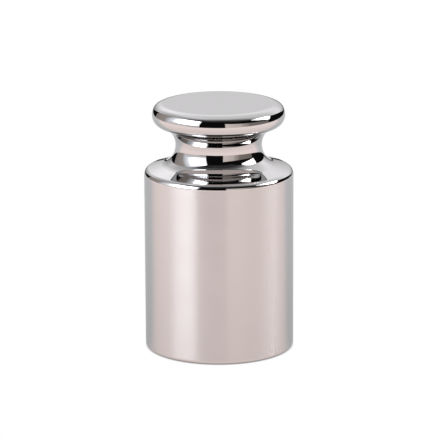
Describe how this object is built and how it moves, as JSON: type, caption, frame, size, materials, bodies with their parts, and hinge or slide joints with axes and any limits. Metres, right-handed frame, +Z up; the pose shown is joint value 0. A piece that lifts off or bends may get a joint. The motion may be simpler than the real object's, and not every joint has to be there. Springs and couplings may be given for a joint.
{
  "type": "calibration weight",
  "caption": "Polished steel cylinder mass with a round groove and a flat-topped knob for lifting, used to check and adjust weighing scales.",
  "frame": {"origin": "centre of the flat base", "axes": "+Z up along the turning axis, from the base to the knob; +X and +Y are any two level directions"},
  "size_m": [0.038, 0.038, 0.0634],
  "materials": {
    "steel": "polished"
  },
  "bodies": {
    "root": {"weight": "steel"}
  },
  "joints": []
}
